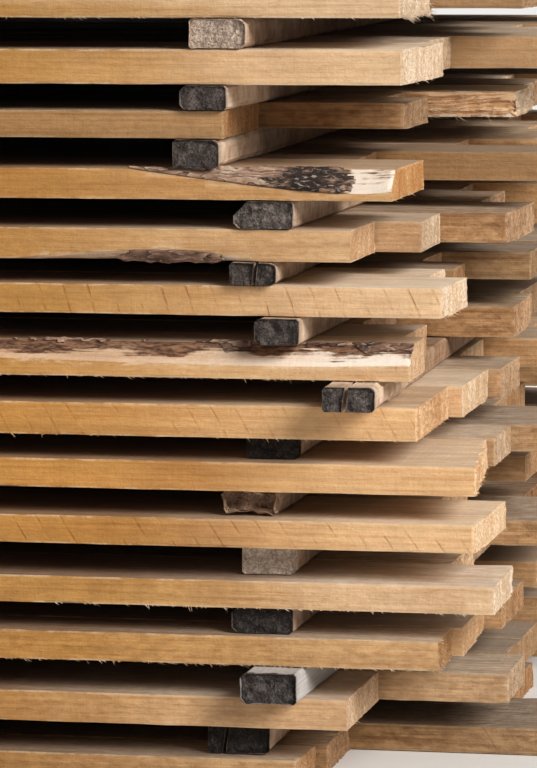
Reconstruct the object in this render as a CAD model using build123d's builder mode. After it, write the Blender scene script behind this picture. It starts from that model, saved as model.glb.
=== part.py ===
"""A stickered stack of sawn lumber: fourteen courses of rough boards with square sticks between them.

X runs along the boards, towards their uneven ends. Y runs into the stack from its front, Z is up.
The origin is the middle of the underside. Every size is in millimetres.
"""
from build123d import *

import os
from dataclasses import dataclass
from math import atan2, cos, radians, sin

# The stack
board_length = 3000        # the length the boards are sold in
length_scatter = 22        # how far a board's own length is off
stack_width = 1120         # across the boards of one course
board_gap = 5.5            # air between neighbours in a course
gap_scatter = 2.5
narrowest_board = 92       # boards come off the log in their own widths
widest_board = 212
thickness_scatter = 0.9    # how much thinner a board may be than the thickest in its course
mean_reach = 26            # ends of the inner boards, past the line that the ends follow
reach_scatter = 62
end_skew = 5               # how far a saw cut at an end is out of square, over the board's width

# The stickers, the sticks that part the courses and let air through
sticker_columns = 6
sticker_inset = 135        # first and last column, from the line of the ends
sticker_overlength = 14    # a sticker is this much longer than the stack is wide
sticker_width = 48
sticker_width_scatter = 6
sticker_proud = 6          # how far the stickers of the hidden columns stand out in front
sticker_proud_scatter = 14
sticker_shift_scatter = 20
sticker_turn = 0.9         # degrees that a sticker lies out of square
sticker_corner = 2.5       # its worn corners
split_opening = 2.4        # the split that opens at the end of some old stickers
split_length = 70
split_lean = 7             # degrees off upright

# The log's own surface where it shows on a board, and the checks that open at an end
log_radius = 176
log_corner_slope = 49      # degrees, direction from the log's middle to the corner that is missing
log_sweep = 34             # degrees of the log's surface that an offcut covers, each way
offcut_margin = 1.5        # how far an offcut reaches past the corner
check_opening = 2.2
check_length = 120
check_every = 4            # one board in so many has a check


@dataclass
class Board:
    """One board: reach is its end past the end line, log_line the depth missing under the log's surface."""

    width: float
    reach: float
    corner: str = ""       # which long edge shows the log: front or back, then top or bottom
    log_line: tuple = ()   # (distance from the seen end, depth missing) pairs
    skew: float = None     # how far its back corner lies past its front corner, where the end shows it


@dataclass
class Course:
    """One course and the stickers it lies on, with the first column's stickers as they lie."""

    thickness: float
    boards: list
    sticker: float = 0         # thickness of the stickers below
    seen_width: float = 0      # width of the sticker in the first column
    seen_shift: float = 0      # that sticker's place along the boards, from the column's line
    seen_proud: float = 0      # how far it stands out in front
    seen_turn: float = 0       # degrees out of square
    seen_bevel: float = 0      # how much of its upper left corner is sawn off
    seen_splits: tuple = ()    # where its end is split, from the middle of its width


# Edges that the bark was on
bark_to_the_end = ((-8, 13), (60, 15), (120, 11), (190, 5), (250, -1), (330, -8))
bark_all_along = ((-8, 12), (130, 14), (420, 11), (900, 15), (1500, 9), (2200, 13), (3060, 10))
bark_below = ((40, -6), (90, 1), (150, 7), (220, 6), (300, 1), (380, -6))
bark_on_the_far_half = ((1300, -6), (1700, 2), (2100, 11), (2600, 14), (3060, 9))
bark_in_the_middle = ((700, -6), (1000, 6), (1350, 12), (1700, 9), (2100, 2), (2300, -6))

# Courses from the floor up, with the boards of each from the front
courses = [
    Course(27, [Board(75, -94), Board(108, -80), Board(160, 112)]),
    Course(29, [Board(157, -47), Board(116, 76)], 28, 58, -17, -20, -1.2, 0, (-12,)),
    Course(27.6, [Board(78, 38), Board(150, 47), Board(138, 58)], 28.5, 52, 22, 38, 1.4),
    Course(26, [Board(135, 87), Board(126, 24, skew=3), Board(150, 20)], 24, 57, 7, -10, 0.6),
    Course(26.8, [Board(165, 69), Board(150, 12)], 29, 51, 9, -35, -0.8),
    Course(27.4, [Board(205, 70, skew=-20), Board(110, 55), Board(160, 105)], 24, 52, -7, -19, 0.9),
    Course(30.8, [Board(185, 17), Board(150, 27, skew=2), Board(120, 40)], 21, 51, 15, -25, -0.5),
    Course(
        32, [Board(96, 11, "front top", bark_all_along), Board(112, -12), Board(180, -70), Board(150, 45)],
        23, 48, 97, 48, -1.1, 0, (-3,),
    ),
    Course(
        28, [Board(118, 39), Board(80, 8), Board(85, 17), Board(105, -30), Board(140, 60)],
        24.5, 41, 26, 15, 0.7,
    ),
    Course(
        29.6, [Board(115, -43, "front bottom", bark_below), Board(116, 1), Board(150, 62)],
        21, 43, 3, 8, -0.9, 0, (2,),
    ),
    Course(
        28.4, [Board(165, -6, "front top", bark_to_the_end, 2), Board(120, -66), Board(120, 92)],
        25.2, 55, 12, 4, 1.0, 13,
    ),
    Course(25.8, [Board(175, -158), Board(116, -26), Board(105, -62), Board(150, 45)], 26, 43, -49, 6, -0.6),
    Course(32.2, [Board(195, 3, skew=6), Board(184, -15), Board(150, 120)], 22.5, 43, -42, 6, 0.5),
    Course(28.6, [Board(160, 2, skew=0), Board(152, -24)], 27, 52, -29, 4, -1.0),
]
# Boards at the back of the stack that show the log, by course
log_at_the_back = {
    3: ("back top", bark_on_the_far_half),
    6: ("back bottom", bark_in_the_middle),
    9: ("back top", bark_all_along),
    12: ("back top", bark_in_the_middle),
}


def scatter(spread, *place):
    """A repeatable value between -spread and spread, different for each place in the stack."""
    turns = sum(number * share for number, share in zip(place, (0.618034, 0.754878, 0.569840)))
    return spread * (2 * (turns % 1) - 1)


def fill_course(level, boards):
    """Add boards of their own widths behind the given ones until the course is full."""
    row = list(boards)
    used = sum(board.width + board_gap for board in row)
    while stack_width - used >= narrowest_board:
        room = stack_width - used
        place = len(row)
        width = room
        if room > widest_board:
            middle = (narrowest_board + widest_board) / 2
            width = middle + scatter((widest_board - narrowest_board) / 2, level, place)
            width = min(width, room - narrowest_board - board_gap)
        row.append(Board(width, mean_reach + scatter(reach_scatter, place, level)))
        used += width + board_gap
    if level in log_at_the_back:
        row[-1].corner, row[-1].log_line = log_at_the_back[level]
    return row


def lay_out_course(level, course, underside):
    """Give each board of a course its corner, length, thickness and skew."""
    laid, front = [], scatter(gap_scatter, level, 7)
    for place, board in enumerate(fill_course(level, course.boards)):
        thinner = thickness_scatter * (1 + scatter(1, level, place, 3)) / 2
        laid.append({
            "board": board,
            "front": front,
            "underside": underside,
            "end": board.reach,
            "length": board_length + scatter(length_scatter, level, place, 5),
            "thickness": course.thickness - (0 if place == 0 else thinner),
            "skew": scatter(end_skew, place, level, 2) if board.skew is None else board.skew,
            "far_skew": scatter(end_skew, place, level, 9),
            "checked": (level + 3 * place) % check_every == 0,
        })
        front += board.width + board_gap + scatter(gap_scatter, level, place, 11)
    return laid


def lay_out_stickers(level, course, underside):
    """Give the sticker of each column its middle line, size and turn, below one course."""
    pitch = (board_length - 2 * sticker_inset) / (sticker_columns - 1)
    row = []
    for column in range(sticker_columns):
        seen = column == 0
        width = sticker_width + scatter(sticker_width_scatter, level, column)
        shift = scatter(sticker_shift_scatter, column, level)
        proud = sticker_proud + scatter(sticker_proud_scatter, level, column, 4)
        turn = scatter(sticker_turn, column, level, 6)
        row.append({
            "middle": -sticker_inset - column * pitch + (course.seen_shift if seen else shift),
            "front": -(course.seen_proud if seen else proud),
            "underside": underside,
            "thickness": course.sticker,
            "width": course.seen_width if seen else width,
            "turn": course.seen_turn if seen else turn,
            "bevel": course.seen_bevel if seen else 0,
            "splits": course.seen_splits if seen else (),
        })
    return row


def board_corners(laid):
    """The four corners of a board seen from above, from the seen end's front corner round."""
    front, back = laid["front"], laid["front"] + laid["board"].width
    end, far = laid["end"], laid["end"] - laid["length"]
    return [(end, front), (end + laid["skew"], back), (far + laid["far_skew"], back), (far, front)]


def sticker_corners(sticker):
    """The four corners of a sticker seen from above."""
    lean = radians(sticker["turn"])
    length, half = stack_width + sticker_overlength, sticker["width"] / 2
    return [
        (
            sticker["middle"] + away * sin(lean) + side * cos(lean),
            sticker["front"] + away * cos(lean) - side * sin(lean),
        )
        for away in (0, length)
        for side in (-half, half)
    ]


# Heights and places, course by course from the floor
board_rows, sticker_rows, height = [], [], 0
for level, course in enumerate(courses, start=1):
    if level > 1:
        sticker_rows.append(lay_out_stickers(level, course, height))
        height += course.sticker
    board_rows.append(lay_out_course(level, course, height))
    height += course.thickness

# The middle of the stack's outline, which becomes the origin
outline = [corner for row in board_rows for laid in row for corner in board_corners(laid)]
outline += [corner for row in sticker_rows for sticker in row for corner in sticker_corners(sticker)]
centre_x = (min(x for x, _ in outline) + max(x for x, _ in outline)) / 2
centre_y = (min(y for _, y in outline) + max(y for _, y in outline)) / 2


def log_offcut(laid):
    """What the round of the log leaves missing from one long edge of a board."""
    board = laid["board"]
    side, face = board.corner.split()
    slope = radians(log_corner_slope)
    edge_y = laid["front"] - centre_y + (0 if side == "front" else board.width)
    edge_z = laid["underside"] + (laid["thickness"] if face == "top" else 0)
    out_y, out_z = (-1 if side == "front" else 1), (1 if face == "top" else -1)
    log_y = edge_y - out_y * log_radius * cos(slope)
    log_z = edge_z - out_z * log_radius * sin(slope)
    start = atan2(out_z * sin(slope), out_y * cos(slope)) - radians(log_sweep)
    middle = Vector(laid["end"] - centre_x, log_y, log_z)
    sheet = Plane(middle, x_dir=(-1, 0, 0), z_dir=(0, sin(start), -cos(start)))
    surface = [(away, log_radius - depth) for away, depth in board.log_line]
    outside = max(log_radius, *(radius for _, radius in surface)) + offcut_margin
    with BuildPart() as offcut:
        with BuildSketch(sheet):
            with BuildLine():
                Spline(*surface)
                Polyline(surface[-1], (surface[-1][0], outside), (surface[0][0], outside), surface[0])
            make_face()
        revolve(axis=Axis(middle, (1, 0, 0)), revolution_arc=2 * log_sweep)
    return offcut.part


def saw_board(laid):
    """One board: its plan pulled up by its thickness, then the log's edge and the check cut away."""
    offcut = log_offcut(laid) if laid["board"].corner else None
    corners = [(x - centre_x, y - centre_y) for x, y in board_corners(laid)]
    end_x, front_y = corners[0]
    with BuildPart() as plank:
        with BuildSketch(Plane.XY.offset(laid["underside"])):
            with BuildLine():
                Polyline(*corners, close=True)
            make_face()
            if laid["checked"]:
                across = front_y + laid["board"].width * 0.45
                mouth = end_x + end_skew
                with BuildLine():
                    Polyline(
                        (mouth, across - check_opening / 2),
                        (mouth, across + check_opening / 2),
                        (end_x - check_length, across),
                        close=True,
                    )
                make_face(mode=Mode.SUBTRACT)
        extrude(amount=laid["thickness"])
        if offcut:
            add(offcut, mode=Mode.SUBTRACT)
    return plank.part


def cut_sticker(sticker):
    """One sticker: its worn section pulled along its length, square to its own line."""
    along = Vector(sin(radians(sticker["turn"])), cos(radians(sticker["turn"])), 0)
    place = (sticker["middle"] - centre_x, sticker["front"] - centre_y)
    middle_height = sticker["underside"] + sticker["thickness"] / 2
    section = Plane((*place, middle_height), x_dir=along.cross(Vector(0, 0, 1)), z_dir=along)
    with BuildPart() as stick:
        with BuildSketch(section):
            Rectangle(sticker["width"], sticker["thickness"])
            chamfer(vertices(), sticker_corner)
            if sticker["bevel"]:
                with Locations((-sticker["width"] / 2, -sticker["thickness"] / 2)):
                    Rectangle(sticker["bevel"] * 2**0.5, sticker["bevel"] * 2**0.5, 45, mode=Mode.SUBTRACT)
        extrude(amount=stack_width + sticker_overlength)
        if sticker["splits"]:
            with BuildSketch(section):
                with Locations(*[(from_middle, 0) for from_middle in sticker["splits"]]):
                    Rectangle(split_opening, sticker["thickness"] * 2, split_lean)
            extrude(amount=split_length, mode=Mode.SUBTRACT)
    return stick.part


os.makedirs("parts", exist_ok=True)

for level, row in enumerate(board_rows, start=1):
    planks = [saw_board(laid) for laid in row]
    with BuildPart() as course_boards:
        for plank in planks:
            add(plank)
    course_boards.part.label = f"board_course_{level:02d}"
    export_step(course_boards.part, f"parts/board_course_{level:02d}.step")

for column in range(sticker_columns):
    sticks = [cut_sticker(row[column]) for row in sticker_rows]
    with BuildPart() as sticker_column:
        for stick in sticks:
            add(stick)
    sticker_column.part.label = f"sticker_column_{column + 1}"
    export_step(sticker_column.part, f"parts/sticker_column_{column + 1}.step")

print("height", round(height, 1), "end line at x =", round(-centre_x, 1), "front at y =", round(-centre_y, 1))
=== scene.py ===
# %% [markdown]
# # A stack of lumber, drying on sticks
# Fourteen courses of rough sawn boards lie on thirteen rows of square sticks, so that air reaches every face.
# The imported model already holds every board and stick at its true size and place. This lesson gives them the
# surface that a saw, a log and a summer outdoors leave behind, and then sets up the light and the camera.

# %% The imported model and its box
from math import radians

import bmesh
import bpy
from mathutils import Matrix, Vector, noise


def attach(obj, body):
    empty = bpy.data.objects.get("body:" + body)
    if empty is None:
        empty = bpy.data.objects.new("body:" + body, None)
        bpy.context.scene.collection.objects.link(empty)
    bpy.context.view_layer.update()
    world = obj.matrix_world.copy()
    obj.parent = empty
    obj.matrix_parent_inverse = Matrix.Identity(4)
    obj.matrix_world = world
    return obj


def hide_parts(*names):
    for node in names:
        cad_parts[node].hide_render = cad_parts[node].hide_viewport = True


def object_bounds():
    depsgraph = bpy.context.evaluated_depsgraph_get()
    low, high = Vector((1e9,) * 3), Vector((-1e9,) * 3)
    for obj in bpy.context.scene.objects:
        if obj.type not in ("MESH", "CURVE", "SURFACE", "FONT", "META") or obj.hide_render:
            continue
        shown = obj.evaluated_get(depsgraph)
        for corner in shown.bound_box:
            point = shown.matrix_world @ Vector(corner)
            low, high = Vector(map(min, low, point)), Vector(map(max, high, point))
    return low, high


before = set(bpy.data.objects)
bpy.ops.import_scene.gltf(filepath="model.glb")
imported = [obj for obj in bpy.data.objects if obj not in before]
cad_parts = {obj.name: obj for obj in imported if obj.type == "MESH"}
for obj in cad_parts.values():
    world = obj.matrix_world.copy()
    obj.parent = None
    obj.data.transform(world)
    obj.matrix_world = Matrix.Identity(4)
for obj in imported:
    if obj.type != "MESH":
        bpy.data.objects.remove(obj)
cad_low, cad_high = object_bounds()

course_nodes = sorted(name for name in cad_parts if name.startswith("board_course_"))
stick_nodes = sorted(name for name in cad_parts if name.startswith("sticker_column_"))
print(len(course_nodes), "courses and", len(stick_nodes), "columns of sticks in the box", cad_low, cad_high)

# %% [markdown]
# ## A steady kind of chance
# No two boards are alike, yet the picture has to come out the same every time. Cell noise gives each point
# with whole coordinates a value of its own, which looks random and never changes. So each board, stick and
# splinter draws its values from its own place in the stack.

# %% Repeatable chance
def chance(*place):
    """A value from 0 to 1 that belongs to one place in the stack."""
    first, second, third, fourth = (*place, 0, 0, 0)[:4]
    return 0.5 + 0.5 * noise.cell(Vector((first + 0.5, second + 0.5 + 37 * fourth, third + 0.5)))


def between(low, high, *place):
    """A value from low to high that belongs to one place in the stack."""
    return low + (high - low) * chance(*place)


def noise_at(point, scale, seed):
    """Smooth noise from -1 to 1 at a point, at a scale in metres."""
    return noise.noise(point / scale + Vector((seed * 7.3, seed * 3.1, seed * 5.7)))


print("three draws:", [round(chance(number, 1), 3) for number in range(3)])

# %% [markdown]
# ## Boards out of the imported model
# Each course arrives as one mesh of loose triangles. A copy is welded, its flat faces are made whole again
# and every board is lifted out by itself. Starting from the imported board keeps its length, its skewed ends,
# its checks and the curve of the log exactly where they were worked out.

# %% Lift single pieces out of a node
weld_distance = 2e-5
flat_angle = radians(0.4)


def islands(mesh):
    """Groups of faces that hang together."""
    left = set(mesh.faces)
    while left:
        group, edge_of_group = set(), [left.pop()]
        while edge_of_group:
            face = edge_of_group.pop()
            group.add(face)
            for edge in face.edges:
                for beside in edge.link_faces:
                    if beside in left:
                        left.discard(beside)
                        edge_of_group.append(beside)
        yield group


def lift_out(node):
    """The separate solids of a node, each as its own bmesh, from the front of the stack to its back."""
    whole = bmesh.new()
    whole.from_mesh(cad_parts[node].data)
    bmesh.ops.remove_doubles(whole, verts=whole.verts, dist=weld_distance)
    bmesh.ops.dissolve_limit(whole, angle_limit=flat_angle, verts=whole.verts, edges=whole.edges)
    whole.faces.index_update()
    pieces = []
    for group in islands(whole):
        own = {face.index for face in group}
        piece = whole.copy()
        others = [face for face in piece.faces if face.index not in own]
        bmesh.ops.delete(piece, geom=others, context="FACES")
        pieces.append(piece)
    whole.free()
    return pieces


def extent(mesh, axis):
    """Lowest and highest value of a mesh along one axis."""
    values = [vert.co[axis] for vert in mesh.verts]
    return min(values), max(values)


def sides(mesh):
    """The same along all three axes: left and right, front and back, under and top."""
    return [extent(mesh, axis) for axis in range(3)]


def every_board():
    """Each board with its level, counted up from the ground, and its place, counted back from the front."""
    for level, node in enumerate(course_nodes, start=1):
        for place, mesh in enumerate(boards[node]):
            yield level, place, mesh


boards = {node: sorted(lift_out(node), key=lambda mesh: extent(mesh, 1)[0]) for node in course_nodes}
sticks = {node: sorted(lift_out(node), key=lambda mesh: extent(mesh, 2)[0]) for node in stick_nodes}
print(sum(map(len, boards.values())), "boards and", sum(map(len, sticks.values())), "sticks lifted out")

# %% [markdown]
# ## Slices
# A board of eight corners can't be rough. Cutting it with many parallel planes adds the points that later get
# pushed about, and leaves its shape alone. The cuts are close together near the seen end and far apart along
# the middle.

# %% Cut a mesh with parallel planes
def slice_mesh(mesh, axis, places, faces=None):
    """Cut a mesh, or only some of its faces, square to an axis at each of the places."""
    square = Vector([float(index == axis) for index in range(3)])
    for place in places:
        if faces is None:
            cut = mesh.verts[:] + mesh.edges[:] + mesh.faces[:]
        else:
            cut = [face for face in mesh.faces if faces(face)]
            cut += list({edge for face in cut for edge in face.edges})
            cut += list({vert for face in cut if isinstance(face, bmesh.types.BMFace) for vert in face.verts})
        bmesh.ops.bisect_plane(mesh, geom=cut, dist=1e-6, plane_co=square * place, plane_no=square)


def steps(low, high, wanted):
    """Even places strictly between low and high, about a wanted distance apart."""
    count = max(1, round((high - low) / wanted))
    return [low + (high - low) * step / count for step in range(1, count)]


end_zone = 0.014
near_end = [0.003, 0.008, end_zone, 0.024, 0.036, 0.05, 0.066, 0.084, 0.104, 0.126, 0.15]
seen_cut, hidden_cut = 0.022, 0.12
across_cut, through_cut = 0.02, 0.009
end_across_cut, end_through_cut = 0.006, 0.0045
arris_strip = 0.003
torn_plank = (12, 3)
torn_zone = 0.25
strand_length, strand_height = 0.0035, 0.0013


def slice_board(mesh):
    """Give one board its cuts along, across and through, with closer ones in the last centimetre."""
    (left, right), (front, back), (under, top) = sides(mesh)
    seen = [right - away for away in near_end]
    seen += [right - near_end[-1] - seen_cut * step for step in range(1, 18)]
    hidden = [left + away for away in near_end[::2]]
    middle = steps(hidden[-1], seen[-1], hidden_cut)
    slice_mesh(mesh, 0, hidden + middle + seen)
    slice_mesh(mesh, 1, [front + arris_strip, back - arris_strip] + steps(front, back, across_cut))
    slice_mesh(mesh, 2, [under + arris_strip, top - arris_strip] + steps(under, top, through_cut))

    def in_an_end(face):
        middle_x = face.calc_center_median().x
        return middle_x > right - end_zone or middle_x < left + end_zone

    slice_mesh(mesh, 1, steps(front, back, end_across_cut), in_an_end)
    slice_mesh(mesh, 2, steps(under, top, end_through_cut), in_an_end)


for _, _, mesh in every_board():
    slice_board(mesh)

torn_board = boards[course_nodes[torn_plank[0] - 1]][torn_plank[1]]
torn_board.normal_update()
torn_end, (torn_under, torn_top) = extent(torn_board, 0)[1], extent(torn_board, 2)


def on_torn_front(face):
    """Whether a face is on the front of the torn board, in the part that shows."""
    return face.normal.y < -0.9 and face.calc_center_median().x > torn_end - torn_zone


slice_mesh(torn_board, 0, [torn_end - strand_length * step for step in range(1, 70)], on_torn_front)
slice_mesh(torn_board, 2, steps(torn_under, torn_top, strand_height), on_torn_front)
print("faces in the boards of one course:", sum(len(mesh.faces) for mesh in boards[course_nodes[0]]))

# %% [markdown]
# ## What the material has to know
# The colour of sawn wood depends on which way it was cut. So each corner of each face remembers whether it is
# an end, a narrow edge or the log's own surface, and each point remembers where it sat in the log and how far
# it is from the end of the board. The material reads these as attributes. The boards at the front look as the
# tables say, from the ground up, and the rest by chance. Their lightness also holds painted shade: boards that
# lie in shade, the front board of the third course from the top and many boards behind the front ones, are
# darker.

# %% How each board looks
front_traits = ("light", "dirt", "saw_marks", "pale_end", "warm")
seen_fronts = [
    (0.50, 0.5, 0.3, 0.2, 0.4),
    (0.80, 0.4, 0.1, 0.7, 0.3),
    (0.88, 0.5, 0.0, 0.0, 0.2),
    (1.0, 0.3, 0.0, 1.0, 0.0),
    (0.88, 0.0, 0.8, 0.85, 0.9),
    (0.95, 0.0, 0.1, 0.55, 1.0),
    (0.90, 0.0, 0.7, 0.45, 1.0),
    (1.0, 0.2, 0.0, 0.5, 0.3),
    (0.85, 0.0, 0.9, 1.0, 0.4),
    (0.74, 0.2, 0.0, 0.4, 0.5),
    (0.72, 0.1, 0.0, 0.0, 1.0),
    # Level 12: the low light is painted shade, for this front board lies in shadow.
    (0.24, 0.2, 0.0, 0.1, 0.8),
    (0.80, 0.0, 0.1, 1.0, 0.3),
    (0.78, 0.1, 0.1, 1.0, 0.0),
]
seen_further = {
    (9, 0): {"pith": (-0.21, 0.02)},
    (3, 0): {"end_shade": 0.6},
    # A low light on the boards behind the front ones is painted shade, for they lie in shade.
    (14, 1): {"light": 0.30, "warm": 1.0},
    (12, 1): {"light": 0.12, "warm": 1.0, "pale_end": 0.7, "saw_marks": 0.0},
    torn_plank: {"light": 1.0, "warm": 0.3, "pale_end": 1.0, "saw_marks": 0.0, "dirt": 0.0},
    (11, 1): {"light": 0.15, "warm": 0.8, "saw_marks": 0.0, "pale_end": 0.2},
    (10, 1): {"light": 0.50, "pale_end": 1.0, "saw_marks": 0.0},
    (9, 1): {"light": 0.85, "pale_end": 1.0, "saw_marks": 0.0},
    (8, 1): {"light": 0.62, "saw_marks": 0.0},
    (7, 1): {"light": 0.85, "pale_end": 1.0, "saw_marks": 0.0},
    (2, 1): {"light": 0.40, "warm": 0.4, "dirt": 0.6, "pale_end": 0.8, "saw_marks": 0.0},
    (11, 2): {"light": 0.15, "warm": 0.8, "saw_marks": 0.0, "pale_end": 0.2},
    (1, 2): {"light": 0.15, "dirt": 0.9, "saw_marks": 0.4, "pale_end": 0.3},
    (1, 1): {"light": 0.20, "dirt": 0.9, "saw_marks": 0.6, "pale_end": 0.4},
}


def looks_of_board(level, place):
    """The tones, the saw marks and the pith's place of one board, each by chance or as seen, with painted
    shade in the darker tones of boards further back.
    """
    look = {
        # Boards from the third place back draw from a darker range: painted shade, for they lie in the stack's
        # shade.
        "light": between(0.45, 0.8, level, place, 4) if place == 1 else between(0.15, 0.65, level, place, 4),
        "warm": chance(place, level, 5),
        "dirt": chance(level, place, 6),
        "saw_marks": max(0.0, chance(place, level, 7) * 1.6 - 1.0),
        "pale_end": chance(place, 9, level) * (1.0 if place == 1 else 0.6),
        "end_shade": 0.0,
        "pith": (between(-0.09, 0.09, level, place, 1), between(-0.14, -0.01, place, level, 2)),
    }
    if place == 0:
        look.update(zip(front_traits, seen_fronts[level - 1]))
    look.update(seen_further.get((level, place), {}))
    return look


print("front board of the top course:", looks_of_board(14, 0))

# %% Mark the faces and points of a board
WIDE, EDGE, END, LOG = range(4)
wane_depth = 0.021


def kind_of(face):
    """Which sawn or grown surface a face is, from the way it points."""
    along, across, up = (abs(part) for part in face.normal)
    if along > 0.7:
        return END
    if up > 0.995:
        return WIDE
    return EDGE if across > 0.995 else LOG


def inner_bark(level, away, down, spot):
    """How much thin inner bark is left on the log's surface: about 0 or less on bare wood."""
    patchy = noise_at(spot, 0.05, level + 21) + 0.5 * noise_at(spot, 0.012, level + 22)
    if level == 11:
        return 0.32 + 0.45 * patchy if away < 0.045 else 0.8
    if level == 8:
        return 1.20 - 1.40 * down + 0.40 * patchy
    if level == 10:
        return 0.25 + 0.3 * patchy
    return 0.55 + 0.5 * patchy


def wood_layers(mesh):
    """The five attributes that boards, splinters and sticks share, made on one mesh."""
    points = mesh.verts.layers
    return (mesh.faces.layers.int.new("kind"), mesh.loops.layers.float_color.new("surface"),
            points.float_vector.new("in_log"), points.float.new("from_end"), points.float_color.new("tone"))


def mark_board(mesh, level, place):
    """Write the kinds, the place in the log, the distance from the end and the tone of one board."""
    mesh.normal_update()
    (left, right), (front, back), (under, top) = sides(mesh)
    look = looks_of_board(level, place)
    kinds, surface, in_log, from_end, tone = wood_layers(mesh)
    stain = mesh.verts.layers.float.new("stain")
    bleached = mesh.verts.layers.float.new("bleached")
    wane_heights = [vert.co.z for face in mesh.faces if kind_of(face) == LOG for vert in face.verts]
    on_top = sum(wane_heights) > len(wane_heights) * (under + top) / 2
    log_share = 0.5 if level == 10 else 1.0
    for face in mesh.faces:
        kind = face[kinds] = kind_of(face)
        for loop in face.loops:
            loop[surface] = (float(kind == END), float(kind == EDGE), log_share * (kind == LOG),
                             look["pale_end"])
    pith_y, pith_z = (front + back) / 2 + look["pith"][0], under + look["pith"][1]
    slide = between(-9, 9, level, place, 3)
    own_tone = (look["light"], look["warm"], look["dirt"], look["saw_marks"])
    end_tone = (look["light"] - look["end_shade"], *own_tone[1:])
    in_ends = {vert for face in mesh.faces if face[kinds] == END for vert in face.verts}
    for vert in mesh.verts:
        x, y, z = vert.co
        vert[in_log] = (x + slide, y - pith_y, z - pith_z)
        vert[from_end] = max(0.0, min(right - x, x - left))
        vert[tone] = end_tone if vert in in_ends else own_tone
        vert[bleached] = float(level == len(course_nodes) and z > (under + top) / 2)
        vert[stain] = inner_bark(level, right - x, (top - z if on_top else z - under) / wane_depth, vert.co)


for level, place, mesh in every_board():
    mark_board(mesh, level, place)
print("marked", len(course_nodes), "courses")

# %% [markdown]
# ## Bark
# Where the saw ran out of the log, the board keeps a strip of the tree's own round surface, the wane, often
# with its bark. Bark is a thick crust broken into plates. A copy of the strip is cut fine, pulled outwards by
# a field of plates with cracks between them, and torn away where it has already dropped off.

# %% Raise the bark from the log's surface
bark_thickness = 0.0042
plate_length, plate_height = 0.060, 0.011
bark_cut, hidden_bark_cut = 0.0022, 0.009
seen_length = 0.42


def plates(point, seed):
    """The height of the bark's plates, from 0 in a deep crack to 1 on the thickest plate."""
    bend = noise_at(point, 0.017, seed + 4) * 0.6
    spot = Vector((point.x / plate_length + bend, point.y / plate_height, point.z / plate_height + bend))
    distances, centres = noise.voronoi(spot + Vector((seed, seed, seed)))
    own_height = 0.7 + 0.3 * noise.cell(centres[0] * 7.0)
    crack = 1.0 - min(1.0, (distances[1] - distances[0]) * 4.0)
    open_crack = min(1.0, max(0.0, 0.3 + 1.2 * noise_at(point, 0.03, seed + 9)))
    return own_height * (1.0 - crack * open_crack)


def bark_left(level, away, down, spot):
    """How surely the bark is still there: above 0 it is."""
    patchy = noise_at(spot, 0.035, level) + 0.5 * noise_at(spot, 0.009, level + 1)
    if level == 11:
        return min(1.0, (away - 0.044) / 0.026) + 0.8 * patchy
    if level == 8:
        crusty = max(1.0 - abs(away - 0.03) / 0.04, 0.5 - abs(away - 0.17) / 0.05, -0.25)
        return (0.42 - down) * 1.6 + crusty * 0.6 - 0.45 + 0.6 * patchy
    if level == 10:
        return 0.5 - abs(away - 0.165) * 14 + patchy * 0.5
    return 0.35 + patchy


def bark_tone(level, away, down, spot):
    """Lightness and blackness of the bark at one spot, in the first and the third value."""
    patch = noise_at(spot, 0.02, level + 3) + 0.7 * noise_at(spot, 0.007, level + 13)
    light = 0.45 + 0.4 * noise_at(spot, 0.03, level + 5)
    black = 0.0
    if level == 11:
        black = 1.05 - abs(away - 0.068 - 0.012 * down) / 0.060 + 0.55 * patch
        light += 0.15 if away < 0.16 else 0.05
    if level == 8:
        black = max(0.0, 1.0 - abs(away - 0.05) / 0.05) * (0.8 + patch)
        light -= 0.1
    return (light, 0.0, black, 0.0)


def raise_bark(mesh, level, seed):
    """A closed crust of bark on the log faces of one board, or None where it has no such face."""
    kinds = mesh.faces.layers.int["kind"]
    if not any(face[kinds] == LOG for face in mesh.faces):
        return None
    right, (under, top) = extent(mesh, 0)[1], extent(mesh, 2)
    crust = mesh.copy()
    kinds = crust.faces.layers.int["kind"]
    sawn = [face for face in crust.faces if face[kinds] != LOG or face.calc_area() < 1e-9]
    bmesh.ops.delete(crust, geom=sawn, context="FACES")
    low, high = extent(crust, 0)
    on_top = extent(crust, 2)[1] > top - 0.001
    fine_from = max(low, right - seen_length)
    slice_mesh(crust, 0, steps(low, fine_from, hidden_bark_cut) + steps(fine_from, high, bark_cut))
    slice_mesh(crust, 2, steps(*extent(crust, 2), bark_cut * 0.8))
    slice_mesh(crust, 1, steps(*extent(crust, 1), bark_cut * 0.8))
    crust.normal_update()
    thick = crust.verts.layers.float.new("thick")
    tone = crust.verts.layers.float_color["tone"]
    for vert in crust.verts:
        away = right - vert.co.x
        down = (top - vert.co.z if on_top else vert.co.z - under) / wane_depth
        vert[thick] = bark_left(level, away, down, vert.co)
        vert[tone] = bark_tone(level, away, down, vert.co)
    gone = [face for face in crust.faces if min(vert[thick] for vert in face.verts) < 0]
    bmesh.ops.delete(crust, geom=gone, context="FACES")
    if not crust.faces:
        return None
    grown = {}
    for vert in crust.verts:
        plate = plates(vert.co, seed)
        torn = min(1.0, 0.25 + vert[thick] * 2.5)
        rough = 0.8 + 0.4 * noise_at(vert.co, 0.005, seed)
        outward = vert.normal * bark_thickness * (0.15 + 0.85 * plate) * torn * rough
        vert[thick] = plate * torn
        grown[vert.co.copy().freeze()] = vert.co + outward
    new_parts = bmesh.ops.extrude_face_region(crust, geom=crust.faces[:], use_keep_orig=True)["geom"]
    for part in new_parts:
        if isinstance(part, bmesh.types.BMVert):
            part.co = grown[part.co.copy().freeze()]
    bmesh.ops.recalc_face_normals(crust, faces=crust.faces)
    return crust


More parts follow.
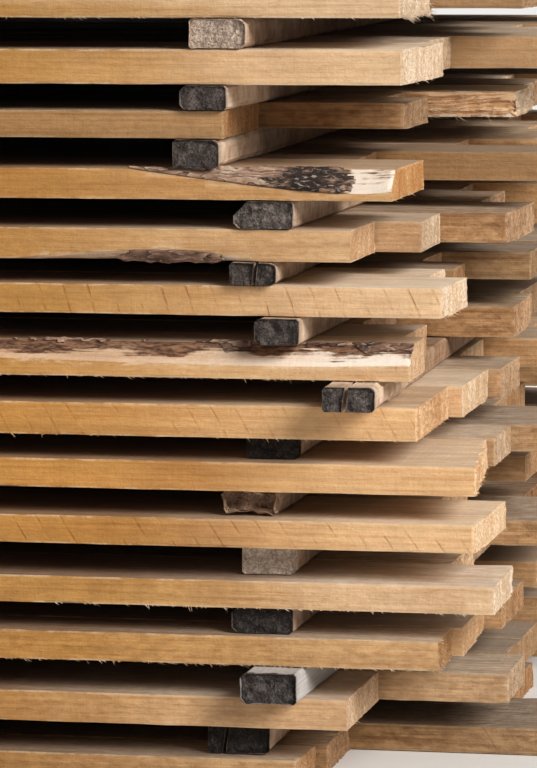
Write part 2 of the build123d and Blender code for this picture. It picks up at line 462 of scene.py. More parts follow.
bark = {}
for level, place, mesh in every_board():
    crust = raise_bark(mesh, level, level + place)
    if crust:
        bark[f"bark_{level:02d}_{place}"] = crust
print("strips of bark:", {name: len(crust.faces) for name, crust in bark.items()})

# %% [markdown]
# ## Rough from the saw
# A coarse saw leaves a board that is straight but not smooth: the arrises are a little ragged with a chip
# here and there, and the ends are fuzzy with torn fibres. Each point moves by a smooth noise field, always
# inwards, so the board itself never grows past its true size.

# %% Push the points of a board about
arris_wear = 0.0007
chip_depth = 0.0028
fuzz_depth = 0.0013
face_wave, end_wave = 0.0004, 0.0008
strand_depth = 0.0085
torn_arris, torn_arris_depth = 0.006, 0.007
ragged_ends = {(14, 0): 2.4, torn_plank: 3.0, (7, 0): 2.2, (6, 0): 2.6, (4, 1): 2.4, (3, 0): 1.8}


def torn_depth(point):
    """How deep the fibres are torn out at one point of the torn front."""
    slant = (point.x - torn_end) * 0.30 * noise_at(point, 0.10, 6)
    strand = Vector((point.x * 0.09, 0.0, point.z + slant))
    depth = 0.35 + 0.55 * noise_at(strand, 0.0024, 7) + 0.6 * noise_at(strand, 0.008, 8)
    return strand_depth * max(0.0, depth)


def roughen_board(mesh, level, place):
    """Wave the faces, wear and chip the arrises and fuzz the ends of one board."""
    seed = level * 10 + place
    ragged = ragged_ends.get((level, place), 1.0)
    kinds = mesh.faces.layers.int["kind"]
    arris = mesh.verts.layers.float.new("arris")
    mesh.normal_update()
    moves = []
    for vert in mesh.verts:
        around = {face[kinds] for face in vert.link_faces}
        vert[arris] = float(len(around) > 1)
        point = vert.co
        move = vert.normal * (face_wave * (noise_at(point, 0.03, seed) - 1))
        if len(around) > 1:
            wear = arris_wear * (1 + noise_at(point, 0.006, seed + 1))
            chip = chip_depth * max(0.0, noise_at(point, 0.018, seed + 2) - 0.42) * 2
            move -= vert.normal * (wear + chip)
        if END in around:
            outward = 1 if vert.normal.x > 0 else -1
            fuzz = fuzz_depth * (noise_at(point, 0.004, seed + 3) - 0.6)
            fuzz += end_wave * noise_at(point, 0.02, seed)
            move.x += outward * min(0.0, fuzz * ragged)
        if mesh is torn_board and EDGE in around and vert.normal.y < 0 and point.x > torn_end - torn_zone:
            move.y += torn_depth(point)
            if point.z < torn_under + torn_arris:
                bite = noise_at(point, 0.018, 9) + 0.5 * noise_at(point, 0.006, 11)
                move.z += torn_arris_depth * max(0.0, bite)
        moves.append(move)
    for vert, move in zip(mesh.verts, moves):
        vert.co += move


for level, place, mesh in every_board():
    roughen_board(mesh, level, place)
print("deepest chip:", chip_depth * 1000, "mm")

# %% [markdown]
# ## Torn fibres
# Where the saw leaves the wood it tears fibres loose, so the lower arris of an end has a beard of splinters.
# Each is a thin four-sided cone with its root in the board. The worst boards have them along the front too.

# %% Grow splinters on the ends
splinter_length = (0.002, 0.0065)
splinter_radius, hair_radius = (0.00022, 0.0005), (0.0002, 0.0005)
hair_reach, torn_reach = 0.40, 0.22
root_depth = 0.003
beards = {14: 180, 12: 24, 9: 50, 8: 50, 7: 90, 6: 140, 5: 30, 4: 50, 3: 90}
edge_hairs = {(3, 0): 130, (8, 0): 60, (14, 0): 40, (4, 0): 60, (7, 0): 30, torn_plank: 420}


def splinter(tuft, root, way, length, radius):
    """One thin cone from its root along its way."""
    turn = way.to_track_quat("Z", "Y").to_matrix().to_4x4()
    middle = Matrix.Translation(root + way * length * 0.44)
    bmesh.ops.create_cone(tuft, cap_ends=True, segments=4, radius1=radius, radius2=radius * 0.15,
                          depth=length, matrix=middle @ turn)


def grow_splinters(mesh, level, place):
    """The splinters of one board's seen end and front edge, with the same attributes as the board."""
    (_, right), (front, back), (under, top) = sides(mesh)
    end_skew = max(vert.co.x for vert in mesh.verts if vert.co.y > back - 0.004) - right
    tuft = bmesh.new()
    count = beards.get(level, 14) if place == 0 else 12
    for number in range(count):
        across = chance(number, level, place)
        height = chance(level, number, place) ** 3
        root = Vector((right - root_depth + min(0.0, end_skew) * across, front + (back - front) * across,
                       under + 0.0008 + (top - under - 0.0016) * height))
        sideways = between(-0.35, 0.35, number, place, level, 3)
        way = Vector((1.0, sideways, between(-0.9, 0.25, place, number, 7)))
        shortest, longest = splinter_length
        length = shortest + (longest - shortest) * chance(number, 5, place) ** 2
        length *= 2.2 if (level, place) == (14, 0) else 1.0
        splinter(tuft, root, way.normalized(), length, between(*splinter_radius, number, 9))
    for number in range(edge_hairs.get((level, place), 0)):
        along = right - 0.004 - hair_reach * chance(number, level, 2)
        droop = between(-0.6, -0.05, number, 4, level)
        length = 0.0015 + 0.0045 * chance(number, level, 6) ** 2
        height = under + 0.0006
        if (level, place) == torn_plank:
            along = right - torn_reach * chance(number, level, 2)
            height = under + 0.001 + (top - under - 0.005) * chance(number, 8) ** 1.6
            droop = between(-0.30, 0.20, number, 4, level)
            length = 0.004 + 0.014 * chance(number, level, 6) ** 2
        root = Vector((along, front + 0.0012, height))
        way = Vector((between(0.1, 1.0, number, 11), -0.25, droop)).normalized()
        splinter(tuft, root, way, length, between(*hair_radius, number, 12))
    kinds, surface, in_log, from_end, tone = wood_layers(tuft)
    for name in ("stain", "bleached", "arris"):
        tuft.verts.layers.float.new(name)
    look = looks_of_board(level, place)
    for face in tuft.faces:
        face[kinds] = END
        for loop in face.loops:
            loop[surface] = (1.0, 0.0, 0.0, max(0.5, look["pale_end"]))
    for vert in tuft.verts:
        vert[in_log], vert[from_end] = vert.co, 0.0
        vert[tone] = (look["light"], look["warm"], 0.0, 0.0)
    return tuft


splinters = {node: [grow_splinters(mesh, level, place) for place, mesh in enumerate(boards[node])]
             for level, node in enumerate(course_nodes, start=1)}
for node in course_nodes:
    boards[node] += splinters[node]
print("splinter faces in the top course:", sum(len(tuft.faces) for tuft in splinters[course_nodes[-1]]))

# %% [markdown]
# ## From meshes to objects
# All boards of a course become one object that stands for the course's node. Joining real objects keeps the
# attributes of every board, because Blender matches them by name.

# %% Join the meshes of a course
def join_meshes(meshes, name):
    """One object from several bmeshes, which are freed."""
    parts = []
    for mesh in meshes:
        data = bpy.data.meshes.new(name)
        mesh.to_mesh(data)
        mesh.free()
        parts.append(bpy.data.objects.new(name, data))
        bpy.context.collection.objects.link(parts[-1])
    with bpy.context.temp_override(active_object=parts[0], selected_editable_objects=parts):
        bpy.ops.object.join()
    parts[0].name = name
    return parts[0]


course_objects = {node: join_meshes(boards[node], node.replace("board_course", "boards"))
                  for node in course_nodes}
bark_objects = [join_meshes([crust], name) for name, crust in bark.items()]
print("first course has", len(course_objects[course_nodes[0]].data.polygons), "faces")

# %% [markdown]
# ## Sticks
# The sticks are used again and again and lie outdoors for years, so their arrises are rounded, their ends are
# split and worn hollow, and no two match. They get finer cuts near their two ends, which are all that shows.

# %% Slice, mark and wear the sticks
stick_ends = [0.002, 0.006, 0.011, 0.018, 0.028, 0.04, 0.055, 0.075, 0.1]
stick_corner, stick_wear = 0.004, 0.0016
stick_wave, stick_fuzz, hollow_depth = 0.0006, 0.0016, 0.003
rotten_reach, rotten_depth, rotten_hollow = 0.05, 0.009, 0.005
rotten_sticks = {(5, 1): 2.6, (2, 1): 1.7}


def slice_stick(mesh):
    """Cuts along one stick, close together near both ends."""
    (left, right), (front, back), (under, top) = sides(mesh)
    slice_mesh(mesh, 1, [front + away for away in stick_ends] + [back - away for away in stick_ends])
    slice_mesh(mesh, 1, steps(front + stick_ends[-1], back - stick_ends[-1], 0.09))
    slice_mesh(mesh, 0, steps(left, right, 0.006))
    slice_mesh(mesh, 2, steps(under, top, 0.005))

    def in_an_end(face):
        middle_y = face.calc_center_median().y
        return min(middle_y - front, back - middle_y) < stick_ends[0]

    slice_mesh(mesh, 0, steps(left, right, 0.003), in_an_end)
    slice_mesh(mesh, 2, steps(under, top, 0.0025), in_an_end)


# Painted light: the topmost stick (level 13) and the stick at level 4 are set lighter, for in the stack they
# lie in shade.
seen_sticks = {
    13: (0.86, 0.35, 0.0), 12: (0.20, 0.3, 0.3), 11: (0.18, 0.3, 0.3), 10: (0.36, 0.1, 0.3),
    9: (0.16, 0.4, 0.4), 8: (0.14, 0.3, 0.2), 7: (0.22, 0.1, 0.5), 6: (0.03, 0.4, 0.2), 5: (0.80, 1.0, 0.5),
    4: (1.0, 0.0, 0.1), 3: (0.05, 0.2, 0.5), 2: (0.20, 0.0, 0.9), 1: (0.02, 0.3, 0.3),
}


def mark_stick(mesh, level, column):
    """Write the same attributes as on a board, with the stick's length along Y."""
    mesh.normal_update()
    (left, right), (front, back), (under, top) = sides(mesh)
    kinds, surface, in_log, from_end, tone = wood_layers(mesh)
    for face in mesh.faces:
        end = abs(face.normal.y) > 0.9
        face[kinds] = END if end else WIDE
        for loop in face.loops:
            loop[surface] = (float(end), 0.0, 0.0, 1.0)
    slide = between(-9, 9, column, level, 8)
    pith = Vector((between(-0.03, 0.03, level, column), 0, between(-0.03, 0.03, column, level)))
    own_tone = [chance(level, column, 14) ** 2, chance(column, level, 15), chance(level, column, 16), 1.0]
    if column == 1:
        own_tone[:3] = seen_sticks[level]
    for vert in mesh.verts:
        x, y, z = vert.co
        vert[in_log] = (y + slide, x - (left + right) / 2 - pith.x, z - (under + top) / 2 - pith.z)
        vert[from_end] = max(0.0, min(y - front, back - y))
        vert[tone] = own_tone


def wear_stick(mesh, level, column):
    """Round and hollow the ends and dent the arrises of one stick."""
    seed = level * 10 + column + 500
    rot = rotten_sticks.get((level, column), 1.0)
    kinds = mesh.faces.layers.int["kind"]
    mesh.normal_update()
    (left, right), (front, back), (under, top) = sides(mesh)
    moves = []
    for vert in mesh.verts:
        point = vert.co
        from_side = min(point.x - left, right - point.x)
        from_face = min(point.z - under, top - point.z)
        move = vert.normal * (stick_wave * (noise_at(point, 0.012, seed) - 1))
        if rot > 2:
            near = max(0.0, 1.0 - min(point.y - front, back - point.y) / rotten_reach)
            move -= vert.normal * (rotten_depth * near * max(0.0, 0.35 + noise_at(point, 0.013, seed + 9)))
        if from_side < stick_corner and from_face < stick_corner:
            move -= vert.normal * stick_wear * (1 + noise_at(point, 0.02, seed + 1)) * min(rot, 1.3)
        if END in {face[kinds] for face in vert.link_faces}:
            inward = 1 if vert.normal.y < 0 else -1
            hollow = hollow_depth * max(0.0, 0.5 + noise_at(point, 0.011, seed + 2))
            hollow += stick_fuzz * (1 + noise_at(point, 0.0045, seed + 3))
            if rot > 2:
                hollow += rotten_hollow * max(0.0, 0.2 + noise_at(point, 0.016, seed + 7))
            move.y += inward * hollow * rot
        moves.append(move)
    for vert, move in zip(mesh.verts, moves):
        vert.co += move


for column, node in enumerate(stick_nodes, start=1):
    for level, mesh in enumerate(sticks[node], start=1):
        slice_stick(mesh)
        mark_stick(mesh, level, column)
        wear_stick(mesh, level, column)
stick_objects = {node: join_meshes(sticks[node], node.replace("sticker_column", "sticks"))
                 for node in stick_nodes}
print("faces in one column:", len(stick_objects[stick_nodes[0]].data.polygons))

# %% [markdown]
# ## Materials as sums
# A material is a small calculation done at every point of a surface. The classes below let it be written as
# one: a wire is the value that comes out of a node, and adding or multiplying wires adds the Math nodes.

# %% Wires and finishes
class Wire:
    """One output socket, with the operators that a material's sums need."""

    def __init__(self, finish, socket):
        self.finish, self.socket = finish, socket

    def sum(self, operation, *values):
        return self.finish.node("ShaderNodeMath", {"operation": operation}, dict(enumerate(values)))

    def __add__(self, other):
        return self.sum("ADD", self, other)

    def __radd__(self, other):
        return self.sum("ADD", other, self)

    def __sub__(self, other):
        return self.sum("SUBTRACT", self, other)

    def __rsub__(self, other):
        return self.sum("SUBTRACT", other, self)

    def __mul__(self, other):
        return self.sum("MULTIPLY", self, other)

    def __rmul__(self, other):
        return self.sum("MULTIPLY", other, self)

    def __pow__(self, other):
        return self.sum("POWER", self, other)

    def fraction(self):
        return self.sum("FRACT", self)

    def clamped(self):
        return self.sum("MINIMUM", self.sum("MAXIMUM", self, 0.0), 1.0)


class Finish:
    """The nodes of a material, or of the world, under construction."""

    def __init__(self, holder):
        self.holder = holder
        holder.use_nodes = True
        self.tree = holder.node_tree
        self.tree.nodes.clear()

    def node(self, kind, settings=None, values=None, output=0):
        """Add a node: its settings first, then the values or wires of its sockets."""
        made = self.tree.nodes.new(kind)
        for name, setting in (settings or {}).items():
            if name == "stops":
                self.set_stops(made.color_ramp, setting)
            else:
                setattr(made, name, setting)
        for name, value in (values or {}).items():
            if isinstance(value, Wire):
                self.tree.links.new(value.socket, made.inputs[name])
            else:
                made.inputs[name].default_value = value
        return Wire(self, made.outputs[output]) if made.outputs else None

    def set_stops(self, ramp, stops):
        """Fill a colour ramp with (place, colour) stops."""
        while len(ramp.elements) < len(stops):
            ramp.elements.new(1.0)
        for element, (place, colour) in zip(ramp.elements, stops):
            element.position, element.color = place, (*colour, 1.0)

    def attribute(self, name, output="Fac"):
        return self.node("ShaderNodeAttribute", {"attribute_name": name}, output=output)

    def split(self, vector):
        parts = self.node("ShaderNodeSeparateXYZ", values={0: vector}).socket.node
        return [Wire(self, socket) for socket in parts.outputs]

    def join(self, x, y, z):
        return self.node("ShaderNodeCombineXYZ", values={0: x, 1: y, 2: z})

    def noise(self, place, scale, detail=3.0, roughness=0.55):
        return self.node("ShaderNodeTexNoise", values={
            "Vector": place, "Scale": scale, "Detail": detail, "Roughness": roughness})

    def grain(self, place, scales, detail=3.0, roughness=0.55):
        """Noise with a scale of its own along each of the three axes."""
        stretched = [part * scale for part, scale in zip(place, scales)]
        return self.noise(self.join(*stretched), 1.0, detail, roughness)

    def ramp(self, value, stops):
        return self.node("ShaderNodeValToRGB", {"stops": stops}, {0: value})

    def blend(self, share, first, second):
        return self.node("ShaderNodeMix", {"data_type": "RGBA"}, {0: share, 6: first, 7: second}, output=2)

    def tint(self, colour, factor_colour, share=1.0):
        return self.node("ShaderNodeMix", {"data_type": "RGBA", "blend_type": "MULTIPLY"},
                         {0: share, 6: colour, 7: factor_colour}, output=2)

    def vary(self, colour, share, first, second, amount=1.0):
        """Tint a colour by a blend of two tints."""
        return self.tint(colour, self.blend(share, first, second), amount)

    def step(self, value, low, high):
        """0 below low, 1 above high and smooth between."""
        return self.node("ShaderNodeMapRange", {"interpolation_type": "SMOOTHSTEP"}, {
            "Value": value, "From Min": low, "From Max": high})

    def surface(self, colour, roughness, height, depth):
        """Close the material: a rough, barely glossy surface with a relief of a depth in metres."""
        bump = self.node("ShaderNodeBump", values={"Height": height, "Distance": depth, "Strength": 1.0})
        shader = self.node("ShaderNodeBsdfPrincipled", values={
            "Base Color": colour, "Roughness": roughness, "Normal": bump, "Specular IOR Level": 0.25})
        self.node("ShaderNodeOutputMaterial", values={"Surface": shader})
        return self.holder


def rgb(red, green, blue):
    """A colour with its alpha, for a socket."""
    return (red, green, blue, 1.0)


print("a wire knows", len([name for name in dir(Wire) if name.startswith("__r")]), "reflected operators")

# %% [markdown]
# ## Sawn wood
# The tree's rings are circles round its heart. Measuring each point's distance from that heart gives stripes
# on the faces, near-straight lines on the edges and arcs on the ends, all from one sum. The narrow edges are
# fresh and golden, the wide faces silvered by light, and the ends pale with torn fibres. Faces and edges turn
# paler towards the seen end, partly as sun bleaching and partly as painted light, and darker further in as
# painted shade.

# %% The sawn board finish
ring_width = 0.0052
saw_stroke = 0.0225


def sawn_board():
    wood = Finish(bpy.data.materials.new("sawn_board"))
    in_log = wood.attribute("in_log", "Vector")
    end, edge, log = wood.split(wood.attribute("surface", "Color"))
    pale_end = wood.attribute("surface", "Alpha")
    lightness, warmth, dirt = wood.split(wood.attribute("tone", "Color"))
    saw_marks = wood.attribute("tone", "Alpha")
    from_end = wood.attribute("from_end")
    place = along, across, up = wood.split(in_log)

    drift = wood.grain(place, (1.3, 7.0, 7.0), 2.0)
    radius = (across * across + up * up) ** 0.5 + (drift - 0.5) * 0.03 + along * 0.004
    ring = (radius * (1 / ring_width)).fraction()
    late_wood = wood.step(ring, 0.35, 0.9) * (1.0 - wood.step(ring, 0.92, 1.0))
    fibre = wood.grain(place, (9.0, 420.0, 420.0), 4.0, 0.6)
    streak = wood.grain(place, (2.2, 60.0, 60.0), 3.0, 0.5)
    cloud = wood.noise(in_log, 9.0, 3.0)

    # Sun bleaching and painted light together: paler near the seen end, where light falls, and darker further
    # in, as painted shade.
    bleach_and_painted_light = 1.0 - wood.step(from_end + (cloud - 0.5) * 0.16, 0.01, 0.38)
    bleach_and_painted_light = bleach_and_painted_light * (0.45 + 0.55 * pale_end)
    bleach_and_painted_light = (bleach_and_painted_light + wood.attribute("bleached") * (0.25 + cloud * 0.5)).clamped()
    golden = wood.blend(bleach_and_painted_light, rgb(0.49, 0.262, 0.080), rgb(0.82, 0.585, 0.375))
    silver = wood.blend(bleach_and_painted_light, rgb(0.33, 0.215, 0.14), rgb(0.92, 0.81, 0.69))
    colour = wood.blend(edge, silver, golden)
    colour = wood.vary(colour, streak, rgb(1.16, 1.14, 1.10), rgb(0.76, 0.73, 0.70))
    bands = wood.grain(place, (3.0, 62.0, 8.0), 4.0, 0.65)
    specks = wood.noise(in_log, 420.0, 4.0, 0.75)
    flecks = wood.grain(place, (75.0, 260.0, 260.0), 4.0, 0.7)
    mottle = wood.grain(place, (26.0, 48.0, 48.0), 4.0, 0.65)
    sawn_end = wood.blend(pale_end, rgb(0.64, 0.37, 0.165), rgb(0.90, 0.745, 0.575))
    sawn_end = wood.vary(sawn_end, wood.step(bands, 0.38, 0.62), rgb(1.08, 1.11, 1.16), rgb(0.88, 0.81, 0.73))
    sawn_end = wood.vary(sawn_end, wood.step(specks, 0.35, 0.65),
                         rgb(0.74, 0.68, 0.62), rgb(1.12, 1.12, 1.12))
    fuzz = 1.0 - wood.step(from_end + (fibre - 0.5) * 0.012, 0.0005, 0.006)
    colour = wood.blend((end + fuzz * 0.6).clamped(), colour, sawn_end)
    stain = wood.attribute("stain") + (fibre - 0.5) * 0.9 + (mottle - 0.5) * 1.5
    peel = wood.blend(wood.step(flecks, 0.35, 0.65), rgb(0.30, 0.165, 0.10), rgb(0.070, 0.034, 0.022))
    pale_wood = wood.blend(streak, rgb(1.0, 0.90, 0.79), rgb(0.76, 0.58, 0.42))
    tan_wood = wood.blend(streak, rgb(0.72, 0.50, 0.33), rgb(0.50, 0.31, 0.19))
    bare_wood = wood.blend(bleach_and_painted_light, tan_wood, pale_wood)
    stained = wood.step(stain, 0.42, 0.72)
    under_bark = wood.blend(stained, bare_wood, peel)
    colour = wood.blend(log * (1.0 - end), colour, under_bark)
    colour = wood.tint(colour, rgb(0.76, 0.62, 0.48), late_wood * (0.30 - 0.12 * edge))
    colour = wood.tint(colour, rgb(0.80, 0.70, 0.60), wood.step(fibre, 0.42, 0.75) * 0.8)
    fleck_share = wood.step(flecks + (mottle - 0.5) * 0.5, 0.47, 0.68) * (0.35 + dirt * 0.5)
    colour = wood.tint(colour, rgb(0.72, 0.62, 0.53), fleck_share)
    colour = wood.vary(colour, wood.step(mottle, 0.3, 0.7), rgb(0.90, 0.88, 0.86), rgb(1.07, 1.07, 1.06))
    colour = wood.vary(colour, specks, rgb(0.80, 0.79, 0.78), rgb(1.18, 1.19, 1.20), 1.0 - edge * 0.4)
    blotches = wood.step(wood.grain(place, (60.0, 110.0, 110.0), 3.0, 0.6), 0.38, 0.62)
    colour = wood.vary(colour, blotches, rgb(0.80, 0.76, 0.72), rgb(1.12, 1.13, 1.14), dirt * (1.0 - log))

    slant = along + up * 0.42 + up * up * 2.0 + (drift - 0.5) * 0.03
    kerf_line = (slant * (1 / saw_stroke)).fraction()
    kerf = wood.step(kerf_line, 0.80, 0.94) * (1.0 - wood.step(kerf_line, 0.95, 1.0))
    patch = wood.grain(place, (34.0, 3.0, 60.0), 3.0, 0.6)
    kerf = kerf * wood.step(patch, 0.40, 0.70) * edge * saw_marks
    colour = wood.tint(colour, rgb(0.74, 0.60, 0.48), kerf * 0.8)

    # Partly painted highlight: the pale rim along the arrises stands for worn pale fibres and for the light
    # that the edges catch.
    rim = wood.attribute("arris") * wood.step(flecks + (mottle - 0.5) * 0.8, 0.40, 0.62)
    colour = wood.blend(rim * (1.0 - log) * 0.55, colour, rgb(0.84, 0.66, 0.46))
    grey_lines = wood.grain(place, (5.0, 240.0, 240.0), 4.0, 0.6)
    grey_share = wood.step(grey_lines + (mottle - 0.5) * 0.4, 0.48, 0.66) * dirt
    colour = wood.tint(colour, rgb(0.66, 0.63, 0.61), grey_share)
    resin = wood.grain(place, (3.0, 34.0, 14.0), 3.0, 0.6)
    resin_share = wood.step(resin, 0.56, 0.66) * end * warmth
    colour = wood.tint(colour, rgb(0.80, 0.56, 0.40), resin_share * 0.45)
    weather = wood.step(wood.noise(in_log, 3.5, 4.0, 0.6) + dirt * 0.14, 0.56, 0.72)
    colour = wood.tint(colour, rgb(0.66, 0.56, 0.48), weather * 0.5)
    # The tone's lightness: the board's own tone, and painted shade on boards set darker because they lie in
    # shade.
    colour = wood.vary(colour, lightness, rgb(0.46, 0.43, 0.40), rgb(1.10, 1.10, 1.10))
    colour = wood.vary(colour, warmth, rgb(0.96, 0.98, 1.0), rgb(1.02, 0.96, 0.86))
    fresh = (1.0 - wood.step(from_end, 0.03, 0.20)) * (1.0 - stained) * log * (1.0 - end)
    colour = wood.blend(fresh * 0.6, colour, rgb(0.95, 0.88, 0.79))

    cross_saw = wood.grain(place, (260.0, 18.0, 60.0), 2.0)
    relief = fibre * 0.4 + cross_saw * 0.3 - kerf * 0.4 + flecks * 0.7 + specks * (0.35 + end * 0.65)
    return wood.surface(colour, 0.88, relief, 0.0013)


sawn_board_finish = sawn_board()
print("nodes in the sawn board finish:", len(sawn_board_finish.node_tree.nodes))

# %% [markdown]
# ## Bark finish
# The outside of a plate is a dull brown, its broken rim is lighter, and the cracks are nearly black. The
# crust was given its own thickness as an attribute, so the colours know where they are.

# %% The bark finish
def old_bark():
    wood = Finish(bpy.data.materials.new("old_bark"))
    place = wood.split(wood.node("ShaderNodeTexCoord", output="Object"))
    thick = wood.attribute("thick")
    lightness, _, black = wood.split(wood.attribute("tone", "Color"))
    coarse = wood.grain(place, (60.0, 160.0, 160.0), 5.0, 0.65)
    fine = wood.grain(place, (330.0, 800.0, 800.0), 4.0, 0.75)

    flow = wood.grain(place, (13.0, 42.0, 42.0), 3.0, 0.5)
    layer = (flow * 11.0).fraction()
    crack = (1.0 - wood.step(layer, 0.05, 0.24)) * wood.step(coarse, 0.38, 0.56)
    rim = wood.step(layer, 0.70, 0.95) * wood.step(fine, 0.36, 0.60)
    bright = (lightness + (coarse - 0.5) * 1.4 + (layer - 0.5) * 0.4).clamped()
    colour = wood.ramp(bright, [(0.0, (0.105, 0.057, 0.040)), (0.45, (0.30, 0.175, 0.120)),
                                (0.75, (0.47, 0.30, 0.205)), (1.0, (0.66, 0.50, 0.38))])
    colour = wood.blend(rim * 0.55, colour, rgb(0.60, 0.455, 0.36))
    colour = wood.blend(crack * 0.85, colour, rgb(0.030, 0.017, 0.013))

    charred = wood.step(black + (flow - 0.5) * 1.0 + (coarse - 0.5) * 2.6, 0.45, 0.75)
    scales = wood.grain(place, (130.0, 380.0, 380.0), 3.0, 0.6)
    colour = wood.blend(charred * 0.93, colour, rgb(0.018, 0.013, 0.012))
    colour = wood.blend(charred * wood.step(scales, 0.55, 0.66) * 0.8, colour, rgb(0.52, 0.44, 0.39))
    colour = wood.tint(colour, rgb(0.35, 0.27, 0.24), 1.0 - wood.step(thick, 0.05, 0.30))
    relief = layer * 0.7 + coarse + fine * 0.6 + scales * charred
    return wood.surface(colour, 0.93, relief, 0.003)


old_bark_finish = old_bark()
print("nodes in the bark finish:", len(old_bark_finish.node_tree.nodes))

# %% [markdown]
# ## Weathered sticks
# Years of rain turn wood grey and then nearly black where dirt and mould settle, first on the end grain. Worn
# fibre ends stand out of the black as pale specks. The flanks stay beige where boards have sheltered them.
# Further from the end the flanks turn darker and browner as painted shade, and a light stick keeps a paler
# flank as painted light.

# %% The stick finish
def weathered_stick():
    wood = Finish(bpy.data.materials.new("weathered_stick"))
    in_log = wood.attribute("in_log", "Vector")
    end, _, _ = wood.split(wood.attribute("surface", "Color"))
    lightness, warmth, worn = wood.split(wood.attribute("tone", "Color"))
    from_end = wood.attribute("from_end")
    place = along, across, up = wood.split(in_log)
    fibre = wood.grain(place, (14.0, 380.0, 380.0), 4.0, 0.65)
    cloud = wood.noise(in_log, 45.0, 4.0, 0.65)
    specks = wood.noise(in_log, 480.0, 5.0, 0.75)
    lean = wood.noise(in_log, 18.0, 2.0) * 0.012
    crack = wood.grain((along, across + lean, up), (20.0, 420.0, 38.0), 2.0, 0.5)
    crack = wood.step(crack, 0.66, 0.72) * worn
    flank = wood.blend(fibre, rgb(0.86, 0.68, 0.52), rgb(0.55, 0.39, 0.27))
    # Painted shade: the flank turns darker and browner away from the end, deeper between the boards.
    flank = wood.vary(flank, wood.step(from_end, 0.04, 0.4), rgb(1.0, 1.0, 1.0), rgb(0.55, 0.46, 0.38))
    flank = wood.vary(flank, wood.step(cloud, 0.35, 0.65), rgb(1.0, 1.0, 1.0), rgb(0.62, 0.55, 0.5))
    silver = wood.blend(fibre, rgb(0.66, 0.63, 0.61), rgb(0.24, 0.22, 0.21))
    flank = wood.blend(wood.step(worn, 0.6, 0.9), flank, silver)
    # The lightest stop is partly painted light, for the seen sticks that reach it lie in shade.
    grey = wood.ramp(lightness, [(0.0, (0.018, 0.016, 0.015)), (0.2, (0.070, 0.058, 0.053)),
                                 (0.5, (0.145, 0.120, 0.105)), (0.8, (0.36, 0.275, 0.22)),
                                 (1.0, (0.74, 0.61, 0.50))])
    pale_specks = wood.step(specks + (cloud - 0.5) * 0.35, 0.34, 0.70)
    dark_part = wood.blend(lightness, rgb(0.45, 0.45, 0.46), rgb(0.58, 0.57, 0.57))
    pale_part = wood.blend(lightness, rgb(2.1, 2.05, 2.0), rgb(1.45, 1.45, 1.43))
    grey = wood.vary(grey, pale_specks, dark_part, pale_part)
    lumps = wood.step(wood.noise(in_log, 150.0, 3.0, 0.6), 0.42, 0.60)
    lump_share = 1.0 - wood.step(lightness, 0.5, 0.8) * 0.75
    grey = wood.vary(grey, lumps, rgb(0.66, 0.66, 0.67), rgb(1.28, 1.26, 1.24), lump_share)
    grey = wood.vary(grey, warmth, rgb(1.0, 1.02, 1.04), rgb(1.08, 0.94, 0.82))
    outdoors = 1.0 - wood.step(from_end + (cloud - 0.5) * 0.05, 0.0, 0.022)
    # Painted light: the lighter the stick, the less of the end's grey reaches its flank, so a light stick's
    # flank stays pale though it lies in shade.
    flank = wood.blend(outdoors * (0.65 - 0.35 * worn) * (1.0 - lightness * 0.7), flank, grey)
    flank = wood.blend(1.0 - wood.step(from_end + (specks - 0.5) * 0.008, 0.002, 0.007), flank, grey)
    colour = wood.blend(end, flank, grey)
    colour = wood.tint(colour, rgb(0.2, 0.17, 0.15), crack * (end + outdoors * 0.5).clamped())
    relief = fibre * 0.4 + specks * end * 0.8 - crack * end * 1.6 + cloud * 0.5 + lumps * end * 0.8
    return wood.surface(colour, 0.94, relief, 0.0022)


weathered_stick_finish = weathered_stick()
print("nodes in the stick finish:", len(weathered_stick_finish.node_tree.nodes))

# %% [markdown]
# ## Each piece in its place
# A piece rides on the part's one body, gets its finish and stands for the node that it was made from, which is
# hidden. Bark stands for no node, so it is only added.

# %% Settle the pieces
def settle(piece, finish, node=None):
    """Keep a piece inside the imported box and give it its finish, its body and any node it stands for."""
    piece.data.materials.clear()
    piece.data.materials.append(finish)
    for vert in piece.data.vertices:
        vert.co = [min(max(value, low), high) for value, low, high in zip(vert.co, cad_low, cad_high)]
    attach(piece, "root")
    if node:
        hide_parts(node)


for node, piece in course_objects.items():
    settle(piece, sawn_board_finish, node)
for node, piece in stick_objects.items():
    settle(piece, weathered_stick_finish, node)
for piece in bark_objects:
    settle(piece, old_bark_finish)
print("settled", len(course_objects) + len(stick_objects), "pieces and", len(bark_objects), "strips of bark")

# %% [markdown]
# ## Floor, light and camera
# The stack stands on a plain pale floor under a wide soft sky. One lamp from the front right gives the faces
# their direction, and a weaker one behind keeps the back from going black. Both are suns with a wide soft
# disc: their light is as strong on the floor as on the wood, where a lamp close by would burn the floor below
# it to white. The camera looks along the front through a long lens.

# %% The floor
floor_size = 30.0
ground = bmesh.new()
bmesh.ops.create_grid(ground, x_segments=1, y_segments=1, size=floor_size / 2)
floor_mesh = bpy.data.meshes.new("floor")
ground.to_mesh(floor_mesh)
ground.free()
floor = bpy.data.objects.new("floor", floor_mesh)
bpy.context.collection.objects.link(floor)
floor_finish = Finish(bpy.data.materials.new("pale_floor"))
floor_tone = floor_finish.blend(
    floor_finish.noise(floor_finish.node("ShaderNodeTexCoord", output="Object"), 3.0),
    rgb(0.80, 0.79, 0.77), rgb(0.86, 0.85, 0.83))
floor_mesh.materials.append(floor_finish.surface(floor_tone, 0.8, 0.0, 0.001))
print("floor of", floor_size, "m")

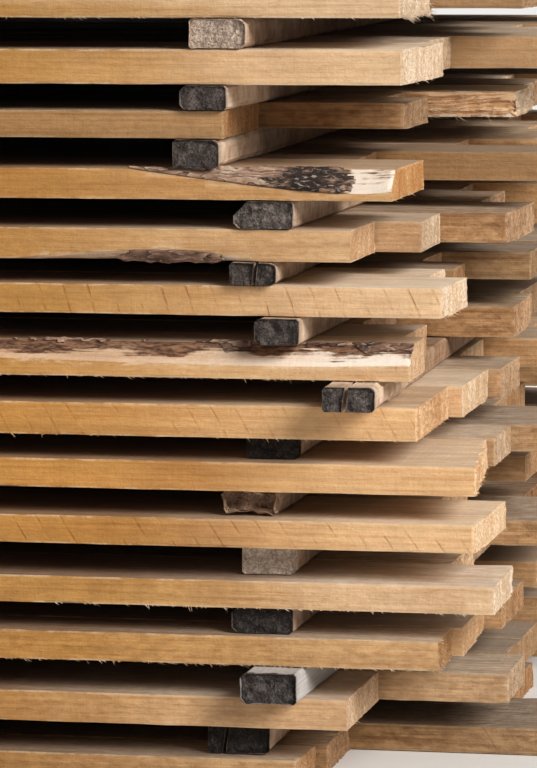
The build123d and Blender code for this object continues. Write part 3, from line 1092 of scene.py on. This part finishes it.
# %% The sky and the lamps
sky_light = 0.25
sky = Finish(bpy.data.worlds.new("soft_sky"))
bpy.context.scene.world = sky.holder
lighting = sky.node("ShaderNodeBackground", values={"Color": rgb(1.0, 0.98, 0.95), "Strength": sky_light})
backdrop = sky.node("ShaderNodeBackground", values={"Color": rgb(0.86, 0.85, 0.83), "Strength": 1.0})
path = {name: sky.node("ShaderNodeLightPath", output=index)
        for name, index in (("camera", 0), ("glossy", 3), ("transmission", 6))}
seen = (path["camera"] + path["glossy"] + path["transmission"]).clamped()
shown = sky.node("ShaderNodeMixShader", values={0: seen, 1: lighting, 2: backdrop})
sky.node("ShaderNodeOutputWorld", values={"Surface": shown})


def lamp(name, place, aim, softness, strength):
    """A soft sun that shines from a place towards a point, with a disc so many degrees wide."""
    light = bpy.data.lights.new(name, "SUN")
    light.angle, light.energy = radians(softness), strength
    light.color = (1.0, 0.985, 0.96)
    holder = bpy.data.objects.new(name, light)
    holder.location = place
    holder.rotation_euler = (Vector(aim) - Vector(place)).to_track_quat("-Z", "Y").to_euler()
    bpy.context.collection.objects.link(holder)


lamp("key_lamp", (6.66, -4.48, 4.46), (0.9, 0.0, 0.3), 28, 3.70)
lamp("back_lamp", (-5.0, 6.0, 4.5), (-0.3, 0.0, 0.3), 27, 1.2)

# %% The camera
camera_place = Vector((2.194, -4.4794, 0.810))
turn_left, look_down, roll = radians(11.5), radians(6.3), radians(-0.2)
camera_data = bpy.data.cameras.new("camera")
camera_data.lens = 210.9
camera_data.sensor_width = 36.0
camera_data.clip_end = 100.0
camera = bpy.data.objects.new("camera", camera_data)
aim = Matrix.Rotation(turn_left, 4, "Z") @ Matrix.Rotation(radians(90) - look_down, 4, "X")
camera.matrix_world = Matrix.Translation(camera_place) @ aim @ Matrix.Rotation(roll, 4, "Z")
bpy.context.collection.objects.link(camera)
bpy.context.scene.camera = camera
bpy.context.scene.view_settings.view_transform = "Standard"
print("camera at", camera_place)

# %% The view layer brought up to date
bpy.context.view_layer.update()
